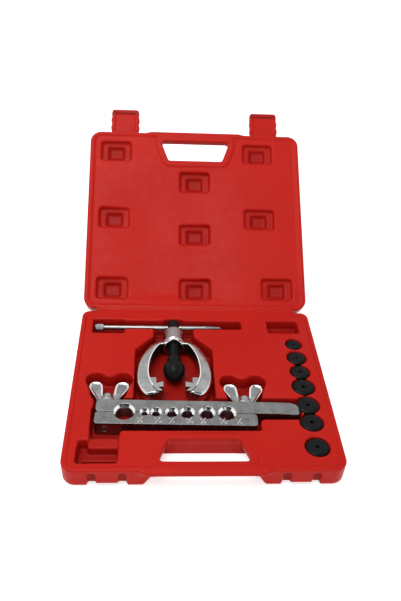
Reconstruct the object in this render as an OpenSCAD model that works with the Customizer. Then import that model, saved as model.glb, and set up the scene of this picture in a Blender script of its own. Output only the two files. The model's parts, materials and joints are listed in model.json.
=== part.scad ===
// Flaring tool kit: a yoke with a feed screw and a split die bar, with seven
// adapters, in a blow-moulded carrying case. The lid stands open.
// Built with the hinge pin's line as Y = 0 and the front towards -Y, then
// moved so that the origin is the centre of the bounding box, on the ground.

/* [Case] */
// Width of the case
case_w = 255; // [250:1:320]
// Depth of each half, from the hinge to the front
case_d = 226; // [222:1:290]
// Height of the base
base_h = 23; // [22:0.5:30]
// Depth of the lid
lid_h = 22; // [20:0.5:30]
// Corner radius at the front of both halves, and at the back of the lid
case_r = 13; // [8:1:20]
// Wall thickness of the moulded skins
skin = 1.8; // [1.2:0.1:2.4]
// Angle that the lid is opened from closed
lid_open = 143.2; // [100:0.1:170]
// Depth of the lid's panel under its rim
lid_recess = 1.6; // [1.4:0.1:3]
// Depth under the rim of the dished middle, which clears the closed yoke
lid_dish = 7; // [6.8:0.1:8]
// Depth of the lid's pockets under its panel
pocket_depth = 10; // [6:0.5:10.5]
// Depth of the ledge in each of the lid's pockets
ledge_depth = 5; // [3:0.5:5.5]
// Depth of the tray's surface under its rim
tray_step = 0.8; // [0.4:0.1:1.5]
// Width of the rim around both halves
rim_w = 5; // [4:0.5:8]

/* [Handle and latches] */
// Width of the hand hole at its front edge
hand_hole_w = 80; // [70:1:100]
// Front to back size of the hand hole
hand_hole_d = 26; // [22:1:34]
// Front to back size of the grip in front of the hole
grip_d = 10.7; // [9:0.5:14]
// Height of the grip in each half
grip_h = 6.5; // [5:0.5:10]
// Distance of each latch from the middle
latch_x = 86.5; // [75:0.5:95]
// Width of a latch
latch_w = 34.6; // [24:0.1:36]
// Length of a latch from its pin to its tip
latch_l = 34.2; // [30:0.2:36]
// Height of the latch pin above the lid's rim, measured into the lid
latch_pin_h = 12; // [11:0.5:15]

/* [Yoke and feed screw] */
// Distance of the screw's line from the middle, towards the left
screw_x = 26; // [20:1:30]
// Height of the screw's line above the ground
screw_z = 18; // [18:0.1:18.5]
// Width across the yoke's arms
yoke_w = 78.6; // [72:0.5:84]
// Width of the yoke's mouth
mouth_w = 53.8; // [50:0.5:56]
// Thickness of the yoke's arms
yoke_t = 14; // [10:0.5:16]
// Diameter of the yoke's boss
boss_dia = 22.4; // [18:0.2:22.6]
// Diameter of the feed screw
screw_dia = 11.4; // [9:0.1:12]
// Diameter of the feed screw's head
head_dia = 13.4; // [12.5:0.1:15]
// Length of the sliding handle
handle_l = 139; // [120:1:145]
// Diameter of the sliding handle
handle_dia = 5.6; // [5:0.1:6.5]
// Largest diameter of the flaring cone
cone_dia = 22.3; // [19:0.1:22.6]

/* [Die bar] */
// Width of each half of the die bar
bar_w = 15.2; // [15:0.1:17]
// Height of the die bar
bar_t = 15.6; // [14:0.2:16]
// Angle that the die bar lies out of square in its pocket
bar_lie = 1.2; // [0:0.1:1.5]
// Length of the front half
front_bar_l = 153.5; // [150:0.5:158]
// Length of the rear half, which ends in a tail
rear_bar_l = 195; // [185:0.5:198]
// Diameter of the clamp studs
stud_dia = 7.8; // [6:0.1:8]
// Span across a wing nut's wings
wing_span = 39.6; // [34:0.2:40]

/* [Fits] */
// Clearance on radius of pins and shafts that turn or slide
run_gap = 0.06; // [0.02:0.01:0.1]
// Gap between pieces that rest on or beside each other
rest_gap = 0.1; // [0.05:0.05:0.3]
// Clearance between a tool and the wall of its pocket
pocket_gap = 1.2; // [0.8:0.1:2]

/* [Hidden] */
$fn = 48;

inch = 25.4;
eps = 0.01;
far = 60;

// Hinge: a strap with a round bead on the line both halves turn about.
hinge_w = case_w - 30;
hinge_r = 0.9;
hinge_gap = 1.5;

// Latches
latch_t = 7;
latch_pin_r = 1.3;
latch_ear_t = 1.6;
latch_pin_y = 2.2;
latch_land_w = 19.6;
foot_w = 18;
foot_lift = 4.4;
channel_d = 3.4;
hole_border = 7;

// Thickness of the lid's grip from its rim, and the height of the space behind it
lid_grip_t = 9.6;
lid_grip_h = lid_h - lid_grip_t + grip_h;

// The lid's dish, as left, back, right and front edges: of its slopes, and of its flat middle
dish_rim = [-screw_x - 88, rim_w + 2, -screw_x + 88, 190];
dish_floor = [-screw_x - 16, 24, -screw_x + 16, 122];

// The grip's bump at the front of the base
bump_w = 118;
bump_d = 3;
lid_bump_d = 1.8;

// Yoke, in the plane of the case, Y counted from the hinge
boss_back_y = -36;
boss_front_y = -54;
arm_mid_y = -103;
arm_back_b = 58;
arm_front_b = 38;
mouth_mid_y = -100;
mouth_back_b = 49;
claw_y = -116.5;
claw_gap_w = 21.6;
claw_step = 9.2;
yoke_front_y = -132.4;
yoke_floor_z = screw_z - boss_dia / 2 - rest_gap;

// Feed screw
head_back_y = -18.5;
head_l = 13.5;
handle_y = -26;
handle_left_x = -112.1;
cap_l = 10;
cap_dia = 8;
screw_end_y = -84;
cone_back_y = -77;
cone_front_y = -109;
cone_tip_dia = 3;
socket_gap = 0.3;

// Die bar: nominal tube sizes from the clamped end, in inches
bar_top_z = 24;
bar_left_x = -101.5;
split_gap = 0.5;
bar_r = 1.6;
tube_in = [5/8, 3/16, 1/4, 5/16, 3/8, 7/16, 1/2];
tube_x = [27.4, 46.5, 57.5, 72.3, 87.1, 105.8, 125];
chamfer_d = 2.6;
stud_x = [9.7, 143.5];
stud_z = bar_top_z - bar_t / 2;
dowel_x = [37.6, 136];
dowel_dia = 3;
dowel_l = 6;
stud_pin_dia = 2.4;
stud_pin_l = 12;
bar_edge = bar_w + split_gap / 2;
bar_back_y = -141.15;
split_y = bar_back_y - bar_edge;
bar_front_y = split_y - bar_edge - rear_bar_l * sin(bar_lie) * 0.8;
bar_floor_z = bar_top_z - bar_t - rest_gap;
open_room = 3.4;

// Wing nuts
washer_dia = 15.4;
washer_t = 1.5;
nut_flange_dia = 15.6;
nut_flange_t = 1.8;
nut_dia = 11.4;
nut_l = 11.5;
wing_floor_z = stud_z - nut_flange_dia / 2 - 0.5;
wing_l = 28.6;
wing_tip_r = 6.2;
wing_root = 9.6;
wing_t = 2.6;
stud_out = 13.5;

// Adapters: outer diameters of the flanges, and their places down the row
adapter_dia = [15.6, 18.8, 18.8, 21.5, 21.5, 21, 21.2];
adapter_y = [-55.4, -77.1, -98.7, -120.4, -145.5, -168.3, -198.3];
adapter_x = case_w / 2 - 23.6;
adapter_flange_t = 4.6;
adapter_stem_l = 7.5;
adapter_hole_dia = 3.4;
adapter_top_z = base_h - 1.2;
adapter_floor_z = adapter_top_z - adapter_flange_t - adapter_stem_l - rest_gap;

// The closed lid's plane and the opened one's directions
lid_dir = [cos(180 - lid_open), sin(180 - lid_open)];
latch_tip = case_d + latch_pin_y + latch_l;
back_y = latch_tip * lid_dir[0] + (latch_pin_h - 1 + latch_t) * lid_dir[1];
shift_y = -(back_y - case_d - bump_d) / 2;

// Points along a round stretch: centre, half sizes, and the two angles
function arc(c, rx, ry, from, to, n) =
    [for (i = [0 : n]) c + [rx * cos(from + (to - from) * i / n), ry * sin(from + (to - from) * i / n)]];

// Rounded rectangle between two corners
function round_rect(lo, hi, r, n = 6) = concat(
    arc([hi[0] - r, hi[1] - r], r, r, 0, 90, n),
    arc([lo[0] + r, hi[1] - r], r, r, 90, 180, n),
    arc([lo[0] + r, lo[1] + r], r, r, 180, 270, n),
    arc([hi[0] - r, lo[1] + r], r, r, 270, 360, n)
);

module in_row() {
    translate([0, shift_y, 0]) children();
}

// Places a piece drawn in the closed lid's plan (front towards +Y, depth upwards)
module on_lid() {
    in_row() translate([0, 0, base_h]) rotate([180 - lid_open, 0, 0]) mirror([0, 0, 1]) children();
}

module rod_y(dia, from, to) {
    translate([0, from, 0]) rotate([-90, 0, 0]) cylinder(d = dia, h = to - from);
}

module rod_x(dia, from, to) {
    translate([from, 0, 0]) rotate([0, 90, 0]) cylinder(d = dia, h = to - from);
}

// ---- Case -----------------------------------------------------------------

module half_outline(front, r = case_r) {
    polygon(round_rect([-case_w / 2, -case_d + front], [case_w / 2, -hinge_gap - front], r));
}

module half_block(h) {
    hull() {
        linear_extrude(eps) half_outline(3, case_r - 3);
        translate([0, 0, 3]) linear_extrude(h - 3) half_outline(0);
    }
}

// Hand hole, wider at the front, in front view of the base
module hand_hole() {
    front = -case_d + grip_d;
    back = front + hand_hole_d;
    polygon(concat(
        arc([hand_hole_w / 2 - 5, front + 5], 5, 5, -90, 0, 5),
        arc([hand_hole_w / 2 - 10, back - 4], 4, 4, 20, 90, 4),
        arc([-hand_hole_w / 2 + 10, back - 4], 4, 4, 90, 160, 4),
        arc([-hand_hole_w / 2 + 5, front + 5], 5, 5, 180, 270, 5)
    ));
}

// The stepped-in surface inside the rim, which keeps clear of the hand hole and grip
module panel() {
    difference() {
        offset(delta = -rim_w) half_outline(0);
        offset(delta = hole_border) hand_hole();
        translate([-hand_hole_w / 2 - 2, -case_d - 5]) square([hand_hole_w + 4, grip_d + 8]);
    }
}

// Where the grip stands proud of the front, with slanted ends
module grip_bump(d) {
    polygon([
        [-bump_w / 2, -case_d + 6], [-bump_w / 2, -case_d], [-bump_w / 2 + 5, -case_d - d],
        [bump_w / 2 - 5, -case_d - d], [bump_w / 2, -case_d], [bump_w / 2, -case_d + 6]
    ]);
}

// The stretch behind and under the grip, where the outer skin is raised
module grip_cut(h, grow = 0) {
    w = hand_hole_w + 18 + 2 * grow;
    translate([-w / 2, -case_d - bump_d - 1, -1])
        cube([w, grip_d + hand_hole_d + bump_d + 1 + grow, h - grip_h + 1 + grow]);
}

// Sides of the latch landings and the lifted edge between the feet
module latch_cuts(grow = 0) {
    for (side = [-1, 1]) {
        for (edge = [-1, 1])
            translate([side * latch_x + edge * (latch_land_w / 2 + 4.2), -case_d, base_h / 2])
                cube([8.4 + 2 * grow, 2 * (channel_d + grow), base_h + 2], center = true);
        translate([side * latch_x, -case_d, 0])
            cube([latch_land_w + 16.8 + 2 * grow, 60, 2 * (foot_lift + grow)], center = true);
    }
}

module yoke_pocket() {
    half = yoke_w / 2 + pocket_gap + 0.3;
    neck = boss_dia / 2 + 10.6;
    polygon([
        [-screw_x - neck, -30], [-screw_x + neck, -30], [-screw_x + neck, -44],
        [-screw_x + half - 1, -62], [-screw_x + half, -66], [-screw_x + half, -142],
        [-screw_x - half, -142], [-screw_x - half, -66], [-screw_x - half + 1, -62], [-screw_x - neck, -44]
    ]);
}

// Two round lobes that leave room for a wing nut's wings, centred on the wings of the turned bar
module wing_pocket(x) {
    lean = (bar_edge + washer_t + wing_l - wing_tip_r) * sin(bar_lie);
    lobe = [wing_span / 2 - wing_tip_r, split_y + bar_edge + washer_t + wing_l - 0.5];
    r = wing_tip_r + 3.7;
    side = lobe[0] + r - 0.5;
    neck = nut_flange_dia / 2 + 4.2;
    translate([x + lean, -x * sin(bar_lie) * 0.5]) {
        for (edge = [-1, 1])
            translate([edge * lobe[0], lobe[1]]) circle(r = r);
        translate([0, lobe[1]]) {
            polygon([[-side, -0.5], [side, -0.5], [neck + 5, -22], [neck, -31],
                     [-neck, -31], [-neck - 5, -22]]);
            polygon(round_rect([-9, -8], [9, 5], 3, 3));
        }
    }
}

module bar_pocket() {
    left = bar_left_x - pocket_gap - 1.3;
    right = bar_left_x + rear_bar_l;
    tail_front = split_y - rear_bar_l * sin(bar_lie) - 3.4;
    polygon([
        [left, bar_back_y + open_room + 0.6], [right + 2.4, bar_back_y + open_room + 0.6],
        [right + 2.4, tail_front], [bar_left_x + front_bar_l + 4, tail_front],
        [bar_left_x + front_bar_l + 4, bar_front_y - 3], [bar_left_x + 25, bar_front_y - 3],
        [bar_left_x + 25, bar_front_y - 10], [left, bar_front_y - 10]
    ]);
}

module handle_slot() {
    polygon(round_rect([handle_left_x - 2.4, -38.5], [-79, -15], 2, 3));
    polygon(round_rect([-85, -31.5], [49, -17.2], 1.5, 3));
}

module spare_pockets() {
    polygon(round_rect([case_w / 2 - 49, -37], [case_w / 2 - 14.5, -16.5], 2.5, 4));
    polygon(round_rect([-case_w / 2 + 13, -216], [-case_w / 2 + 50, -197.5], 3, 4));
    polygon(round_rect([-case_w / 2 + 13, -216], [-case_w / 2 + 22.5, -190.5], 3, 4));
}

// Ledge between the front left pocket and the die bar's
module spare_ledge() {
    polygon(round_rect([-case_w / 2 + 22.5, -200], [-case_w / 2 + 50, bar_front_y + 2], 2, 3));
}

// One pocket, from its floor up, or its moulded skin when grown
module pocket(floor_z, grow) {
    translate([0, 0, floor_z - grow]) linear_extrude(far) offset(delta = grow) children();
}

module tray_pockets(grow = 0) {
    pocket(9, grow) handle_slot();
    pocket(yoke_floor_z, grow) yoke_pocket();
    pocket(bar_floor_z, grow) bar_pocket();
    for (x = stud_x)
        pocket(wing_floor_z, grow) wing_pocket(bar_left_x + x);
    pocket(10, grow) spare_pockets();
    pocket(base_h - 4.5, grow) spare_ledge();
    for (i = [0 : len(adapter_y) - 1])
        translate([adapter_x, adapter_y[i], adapter_floor_z - grow])
            cylinder(d = adapter_dia[i] + 2 * pocket_gap + 2 * grow, h = far);
}

module case_base() {
    color("firebrick") in_row() difference() {
        union() {
            half_block(base_h);
            translate([0, 0, base_h - grip_h]) linear_extrude(grip_h) grip_bump(bump_d);
        }
        translate([0, 0, base_h - tray_step]) linear_extrude(far) panel();
        translate([0, 0, -1]) linear_extrude(far) hand_hole();
        grip_cut(base_h);
        latch_cuts();
        tray_pockets();
        hinge_groove();
        difference() {
            translate([0, 0, skin]) linear_extrude(base_h - tray_step - 2 * skin)
                offset(delta = -skin) half_outline(0);
            translate([0, 0, -1]) linear_extrude(far) offset(delta = skin) hand_hole();
            grip_cut(base_h, skin);
            latch_cuts(skin);
            tray_pockets(skin);
            translate([-hinge_w / 2 - 3, -hinge_gap - 4, -1]) cube([hinge_w + 6, 10, far]);
        }
        translate([case_w / 4 - 1.2, -case_d + 21, skin + 1]) cylinder(d = 5, h = far);
    }
}

// Room for the strap's bead in the back edge of either half
module hinge_groove() {
    translate([0, 0, base_h]) rod_x(2 * hinge_r + 0.8, -hinge_w / 2 - 1, hinge_w / 2 + 1);
}

module hinge_strap() {
    color("firebrick") in_row() {
        translate([0, 0, base_h]) rod_x(2 * hinge_r, -hinge_w / 2, hinge_w / 2);
        translate([-hinge_w / 2, -hinge_gap, base_h - 6])
            cube([hinge_w, hinge_gap - 0.3, 5.4]);
        translate([-hinge_w / 2, -0.9, base_h - 1.2]) cube([hinge_w, 0.6, 0.8]);
    }
}

// Share of the dish's depth that its slopes have reached at x and h from the hinge
function dish_share(x, h) = max(0, min(1,
    (x - dish_rim[0]) / (dish_floor[0] - dish_rim[0]), (h - dish_rim[1]) / (dish_floor[1] - dish_rim[1]),
    (dish_rim[2] - x) / (dish_rim[2] - dish_floor[2]), (dish_rim[3] - h) / (dish_rim[3] - dish_floor[3])));

module dish_block(edges, depth) {
    translate([edges[0], edges[1], -1]) cube([edges[2] - edges[0], edges[3] - edges[1], 1 + depth]);
}

// Shallow dish with long slopes, cut into the lid's panel
module dish(grow = 0) {
    hull() {
        dish_block(dish_rim, lid_recess + grow);
        dish_block(dish_floor, lid_dish + grow);
    }
}

// Lid pocket with a ledge around a deeper middle, at x and h from the hinge
module lid_pocket(x, h, grow = 0) {
    depth = lid_recess + (lid_dish - lid_recess) * dish_share(x, h);
    translate([x, h, 0]) {
        linear_extrude(depth + ledge_depth + grow)
            polygon(round_rect([-18 - grow, -12.8 - grow], [18 + grow, 12.8 + grow], 2.5, 4));
        linear_extrude(depth + pocket_depth + grow)
            polygon(round_rect([-10.8 - grow, -11 - grow], [10.8 + grow, 9 + grow], 2.5, 4));
    }
}

module lid_pockets(grow = 0) {
    for (p = [[-95.9, 200.8], [76.5, 200.8], [-0.8, 162], [-95.9, 114], [76.5, 114], [-0.8, 95],
              [-95.9, 26.8], [-0.8, 26.8], [94.5, 26.8]])
        lid_pocket(p[0] * case_w / 255, p[1] * case_d / 226, grow);
}

module case_lid() {
    color("firebrick") on_lid() difference() {
        union() {
            translate([0, 0, lid_h]) mirror([0, 0, 1]) mirror([0, 1, 0]) half_block(lid_h - rest_gap);
            mirror([0, 1, 0]) translate([0, 0, rest_gap])
                linear_extrude(lid_grip_t - rest_gap) grip_bump(lid_bump_d);
            for (side = [-1, 1], edge = [-1, 1])
                translate([side * latch_x + edge * (latch_w / 2 + latch_ear_t / 2 + 0.4), case_d, latch_pin_h])
                    latch_ear();
        }
        for (side = [-1, 1])
            translate([side * latch_x, case_d + latch_pin_y, latch_pin_h])
                rod_x(2 * (latch_pin_r + run_gap), -latch_w / 2 - 3, latch_w / 2 + 3);
        translate([0, 0, -1]) mirror([0, 1, 0]) linear_extrude(1 + lid_recess) panel();
        dish();
        translate([0, 0, -1]) mirror([0, 1, 0]) linear_extrude(far) hand_hole();
        translate([0, 0, lid_h]) mirror([0, 0, 1]) mirror([0, 1, 0]) grip_cut(lid_grip_h);
        lid_pockets();
        translate([0, 0, -base_h]) hinge_groove();
        difference() {
            translate([0, 0, lid_recess + skin]) mirror([0, 1, 0])
                linear_extrude(lid_h - lid_recess - 2 * skin) offset(delta = -skin) half_outline(0);
            translate([0, 0, -1]) mirror([0, 1, 0]) linear_extrude(far) offset(delta = skin) hand_hole();
            translate([0, 0, lid_h]) mirror([0, 0, 1]) mirror([0, 1, 0]) grip_cut(lid_grip_h, skin);
            dish(skin);
            lid_pockets(skin);
        }
        translate([case_w / 4, 0, lid_h - 6]) rod_y(4, 0, 6);
    }
}

module latch_ear() {
    rotate([90, 0, 90]) linear_extrude(latch_ear_t, center = true)
        polygon(concat([[-1, -3.4]], arc([latch_pin_y, 0], 2.6, 2.6, -60, 60, 6), [[-1, 3.4]]));
}

// Latch, standing on from the lid in its open state
module latch(side) {
    inner = latch_pin_h - 1;
    tip = case_d + latch_pin_y + latch_l;
    color("firebrick") on_lid() translate([side * latch_x, 0, 0]) difference() {
        union() {
            translate([-latch_w / 2, case_d + 0.6, latch_pin_h - 1]) cube([latch_w, 4.6, 3.2]);
            translate([0, 0, inner]) linear_extrude(2.6)
                polygon(round_rect([-latch_w / 2, case_d + 4], [latch_w / 2, tip], 3, 5));
            for (edge = [-1, 1])
                translate([edge * (latch_w / 2 - 1.5) - 1.5, case_d + 4, inner]) cube([3, latch_l - 5.5, latch_t]);
            translate([-latch_w / 2 + 2, tip - 3.2, inner - 2]) cube([latch_w - 4, 3.2, latch_t]);
            translate([0, case_d + latch_pin_y, latch_pin_h])
                rod_x(2 * latch_pin_r, -latch_w / 2 - latch_ear_t, latch_w / 2 + latch_ear_t);
        }
    }
}

module latch_left() { latch(-1); }
module latch_right() { latch(1); }

// ---- Yoke and feed screw --------------------------------------------------

module on_screw() {
    in_row() translate([-screw_x, 0, screw_z]) children();
}

// Half of the yoke's outline, to the right of the screw
module yoke_half() {
    half = yoke_w / 2;
    mouth = mouth_w / 2;
    bottom = asin((arm_mid_y - yoke_front_y) / arm_front_b);
    polygon(concat(
        [[0, -46]],
        arc([0, arm_mid_y], half, arm_back_b, 74, 0, 12),
        arc([0, arm_mid_y], half, arm_front_b, -6, -bottom, 8),
        [[claw_gap_w / 2 + 10, yoke_front_y], [claw_gap_w / 2, yoke_front_y + 5.4]],
        [[claw_gap_w / 2, claw_y], [claw_gap_w / 2 + claw_step - 1.6, claw_y - 1.2]],
        [[claw_gap_w / 2 + claw_step, claw_y + 8.4], [mouth - 1, claw_y + 8.4]],
        arc([0, mouth_mid_y], mouth, mouth_back_b, -8, 54, 10),
        [[11, -60.2], [7.5, -59], [0, -55.5]]
    ));
}

module yoke() {
    color("silver") on_screw() difference() {
        union() {
            translate([0, 0, -yoke_t / 2]) linear_extrude(yoke_t) {
                yoke_half();
                mirror([1, 0]) yoke_half();
            }
            rod_y(boss_dia, boss_front_y, boss_back_y);
        }
        rod_y(screw_dia + 2 * run_gap, boss_front_y - 20, boss_back_y + 1);
    }
}

module feed_screw() {
    color("dimgray") on_screw() difference() {
        union() {
            rod_y(head_dia, head_back_y - head_l, head_back_y);
            rod_y(screw_dia, cone_back_y + socket_gap, head_back_y - 1);
            rod_y(screw_dia - 4, screw_end_y, cone_back_y + 1);
        }
        translate([0, handle_y, 0]) rod_x(handle_dia + 2 * run_gap, -head_dia, head_dia);
    }
}

module flaring_cone() {
    back = cone_back_y - cone_front_y;
    color("dimgray") on_screw() translate([0, cone_front_y, 0]) rotate([-90, 0, 0]) difference() {
        rotate_extrude() polygon(concat(
            [[0, 0], [cone_tip_dia / 2, 0], [cone_dia / 2, 12.4], [cone_dia / 2, 17]],
            arc([cone_dia / 2 - 4, 17], 4, 4, 10, 60, 4),
            [[screw_dia / 2 + 1.4, back - 5], [screw_dia / 2 + 1.4, back], [0, back]]
        ));
        translate([0, 0, screw_end_y - cone_front_y - socket_gap])
            cylinder(d = screw_dia - 4 + 2 * run_gap, h = back);
    }
}

// Round bar, thinner towards its right end
module handle_rod() {
    left = handle_left_x + screw_x;
    taper = 24;
    color("silver") on_screw() translate([0, handle_y, 0]) {
        rod_x(handle_dia, left + cap_l - 3, left + handle_l - taper);
        translate([left + handle_l - taper, 0, 0]) rotate([0, 90, 0])
            cylinder(d1 = handle_dia, d2 = 3, h = taper);
    }
}

module handle_cap() {
    left = handle_left_x + screw_x;
    color("silver") on_screw() translate([0, handle_y, 0]) difference() {
        rod_x(cap_dia, left, left + cap_l);
        rod_x(handle_dia, left + cap_l - 3, left + cap_l + 1);
    }
}

// ---- Die bar --------------------------------------------------------------

// Local frame: X along the bar from its left end, Y = 0 on the split line
module on_bar() {
    in_row() translate([bar_left_x, split_y, 0]) rotate([0, 0, -bar_lie]) children();
}

// Through holes on the split line, chamfered at both faces
module tube_holes() {
    for (i = [0 : len(tube_in) - 1])
        translate([tube_x[i], 0, bar_top_z - bar_t]) {
            translate([0, 0, -1]) cylinder(d = tube_in[i] * inch, h = bar_t + 2);
            translate([0, 0, bar_t - chamfer_d])
                cylinder(d1 = tube_in[i] * inch, d2 = tube_in[i] * inch + 2 * chamfer_d, h = chamfer_d + eps);
            translate([0, 0, -eps])
                cylinder(d1 = tube_in[i] * inch + 1, d2 = tube_in[i] * inch, h = 0.5 + eps);
        }
}

module stud_holes(gap) {
    for (x = stud_x)
        translate([x, 0, stud_z]) rod_y(stud_dia + 2 * gap, -bar_edge - 1, bar_edge + 1);
}

module dowel_holes(gap) {
    for (x = dowel_x)
        translate([x, 0, stud_z]) rod_y(dowel_dia + 2 * gap, -dowel_l, dowel_l + 0.5);
}

module front_bar() {
    color("darkgray") on_bar() difference() {
        translate([0, 0, bar_top_z - bar_t]) linear_extrude(bar_t)
            polygon(round_rect([0, -bar_edge], [front_bar_l, -split_gap / 2], bar_r, 4));
        tube_holes();
        stud_holes(0);
        dowel_holes(0);
        for (x = stud_x)
            translate([x, -bar_edge + bar_w / 2, bar_top_z - stud_pin_l]) cylinder(d = stud_pin_dia, h = far);
    }
}

// The rear half runs on as a tail with a rounded end, ground down a little on top
module rear_bar() {
    tail = 22;
    front = split_gap / 2;
    color("darkgray") on_bar() difference() {
        translate([0, 0, bar_top_z - bar_t]) linear_extrude(bar_t) polygon(concat(
            arc([bar_r, front + bar_r], bar_r, bar_r, 180, 270, 4),
            arc([rear_bar_l - bar_r, front + bar_r], bar_r, bar_r, 270, 360, 4),
            arc([rear_bar_l - 9, bar_edge - 6], 9, 6, 0, 90, 6),
            arc([bar_r, bar_edge - bar_r], bar_r, bar_r, 90, 180, 4)
        ));
        translate([rear_bar_l - tail, -1, bar_top_z]) rotate([0, 3, 0])
            cube([tail + 5, bar_edge + 3, 6]);
        tube_holes();
        stud_holes(run_gap);
        dowel_holes(run_gap);
    }
}

// Stud, pinned in the front half and threaded for its wing nut
module stud(i) {
    color("silver") on_bar() difference() {
        translate([stud_x[i], 0, stud_z]) rod_y(stud_dia, -bar_edge + 0.5, bar_edge + stud_out);
        translate([stud_x[i], -bar_edge + bar_w / 2, 0]) cylinder(d = stud_pin_dia, h = far);
    }
}

module stud_pin(i) {
    color("gray") on_bar() translate([stud_x[i], -bar_edge + bar_w / 2, bar_top_z - stud_pin_l])
        cylinder(d = stud_pin_dia, h = stud_pin_l - 0.2);
}

module dowel(i) {
    color("gray") on_bar() translate([dowel_x[i], 0, stud_z])
        rod_y(dowel_dia, -dowel_l, dowel_l);
}

module washer(i) {
    color("silver") on_bar() translate([stud_x[i], bar_edge, stud_z]) difference() {
        rod_y(washer_dia, 0, washer_t);
        rod_y(stud_dia + 2 * run_gap, -1, washer_t + 1);
    }
}

// One flat wing: a petal with a straight outer edge
module wing() {
    tip_x = wing_span / 2 - wing_tip_r;
    tip_y = wing_l - wing_tip_r;
    translate([0, 0, -wing_t / 2]) linear_extrude(wing_t) polygon(concat(
        [[nut_dia / 2 - 1.5, 0.8], [wing_root, 0.8]],
        arc([tip_x, tip_y], wing_tip_r, wing_tip_r, -26, 190, 14),
        [[nut_dia / 2 - 1, nut_l - 1]]
    ));
}

module wing_nut(i) {
    color("gainsboro") on_bar() translate([stud_x[i], bar_edge + washer_t + 0.05, stud_z]) difference() {
        union() {
            rod_y(nut_flange_dia, 0, nut_flange_t);
            rotate([-90, 0, 0]) cylinder(d1 = nut_dia, d2 = nut_dia - 1.4, h = nut_l);
            wing();
            mirror([1, 0, 0]) wing();
        }
        rod_y(stud_dia + 2 * run_gap, -1, far);
    }
}

module stud_left() { stud(0); }
module stud_right() { stud(1); }
module stud_pin_left() { stud_pin(0); }
module stud_pin_right() { stud_pin(1); }
module dowel_left() { dowel(0); }
module dowel_right() { dowel(1); }
module washer_left() { washer(0); }
module washer_right() { washer(1); }
module wing_nut_left() { wing_nut(0); }
module wing_nut_right() { wing_nut(1); }

// ---- Adapters -------------------------------------------------------------

// Flange with a stem below it that enters the tube's end; sizes in inches
module adapter(i, tube) {
    stem_dia = tube * inch * 0.72;
    color("dimgray") in_row() translate([adapter_x, adapter_y[i], adapter_top_z]) mirror([0, 0, 1])
        difference() {
            union() {
                cylinder(d1 = adapter_dia[i] - 2, d2 = adapter_dia[i], h = 1);
                translate([0, 0, 1]) cylinder(d = adapter_dia[i], h = adapter_flange_t - 1);
                cylinder(d = stem_dia, h = adapter_flange_t + adapter_stem_l);
            }
            translate([0, 0, -1]) cylinder(d = min(adapter_hole_dia, stem_dia * 0.55), h = far);
        }
}

module adapter_3_16() { adapter(0, 3/16); }
module adapter_1_4() { adapter(1, 1/4); }
module adapter_5_16() { adapter(2, 5/16); }
module adapter_3_8() { adapter(3, 3/8); }
module adapter_7_16() { adapter(4, 7/16); }
module adapter_1_2() { adapter(5, 1/2); }
module adapter_5_8() { adapter(6, 5/8); }

case_base();
hinge_strap();
case_lid();
latch_left();
latch_right();
yoke();
feed_screw();
flaring_cone();
handle_rod();
handle_cap();
front_bar();
rear_bar();
stud_left();
stud_right();
stud_pin_left();
stud_pin_right();
dowel_left();
dowel_right();
washer_left();
washer_right();
wing_nut_left();
wing_nut_right();
adapter_3_16();
adapter_1_4();
adapter_5_16();
adapter_3_8();
adapter_7_16();
adapter_1_2();
adapter_5_8();
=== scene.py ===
import json
import math

import bpy
import numpy as np
from mathutils import Matrix, Vector


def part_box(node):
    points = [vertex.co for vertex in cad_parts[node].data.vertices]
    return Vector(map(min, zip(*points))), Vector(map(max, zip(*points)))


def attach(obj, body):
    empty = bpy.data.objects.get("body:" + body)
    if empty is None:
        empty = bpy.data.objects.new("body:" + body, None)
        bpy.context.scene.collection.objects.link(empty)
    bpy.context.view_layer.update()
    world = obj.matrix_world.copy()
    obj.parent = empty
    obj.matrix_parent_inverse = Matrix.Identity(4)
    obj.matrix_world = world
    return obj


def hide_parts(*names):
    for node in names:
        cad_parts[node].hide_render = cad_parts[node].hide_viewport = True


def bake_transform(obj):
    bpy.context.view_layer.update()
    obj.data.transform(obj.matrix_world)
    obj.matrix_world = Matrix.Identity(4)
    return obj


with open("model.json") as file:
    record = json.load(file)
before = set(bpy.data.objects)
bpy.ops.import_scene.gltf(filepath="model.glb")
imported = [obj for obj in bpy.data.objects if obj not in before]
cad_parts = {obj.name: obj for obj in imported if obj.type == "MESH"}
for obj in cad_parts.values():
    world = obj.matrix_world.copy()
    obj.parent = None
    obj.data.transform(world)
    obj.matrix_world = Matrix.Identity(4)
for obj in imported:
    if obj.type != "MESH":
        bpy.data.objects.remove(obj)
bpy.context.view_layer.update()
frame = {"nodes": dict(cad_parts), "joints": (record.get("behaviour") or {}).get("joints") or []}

MM = 0.001
joints = {j["name"]: j for j in frame["joints"]}


# ---- Places, worked out from the frame -------------------------------------
# Both halves of the case share one set of coordinates, in millimetres:
# x to the right, h away from the hinge line, n down from the rim into the half.

hinge = Vector(joints["lid_hinge"]["pos_m"]) / MM


def box_mm(node):
    lo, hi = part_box(node)
    return np.array(lo) / MM, np.array(hi) / MM


base_lo, base_hi = box_mm("case_base")
CASE_W = base_hi[0] - base_lo[0]
BASE_H = base_hi[2]
BUMP = 3.0
CASE_D = hinge.y - base_lo[1] - BUMP
LID_H = 22.0
GAP = hinge.y - base_hi[1]
lid_up = Vector(joints["latch_l_hinge"]["pos_m"]) / MM - hinge
PIN_N, PIN_H = 12.0, CASE_D + 2.2
LID_ANGLE = math.atan2(lid_up.z, lid_up.y) + math.atan2(PIN_N, PIN_H)
COS, SIN = math.cos(LID_ANGLE), math.sin(LID_ANGLE)
CORNER_R = 13.0
RIM_W = 5.0
RIM_GAP = 0.1
LATCH_X = abs(joints["latch_l_hinge"]["pos_m"][0]) / MM


def base_place(p):
    """Case coordinates to the row frame for the base, in metres."""
    x, h, n = p.T
    return np.stack([x, hinge.y - h, BASE_H - n], 1) * MM


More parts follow.
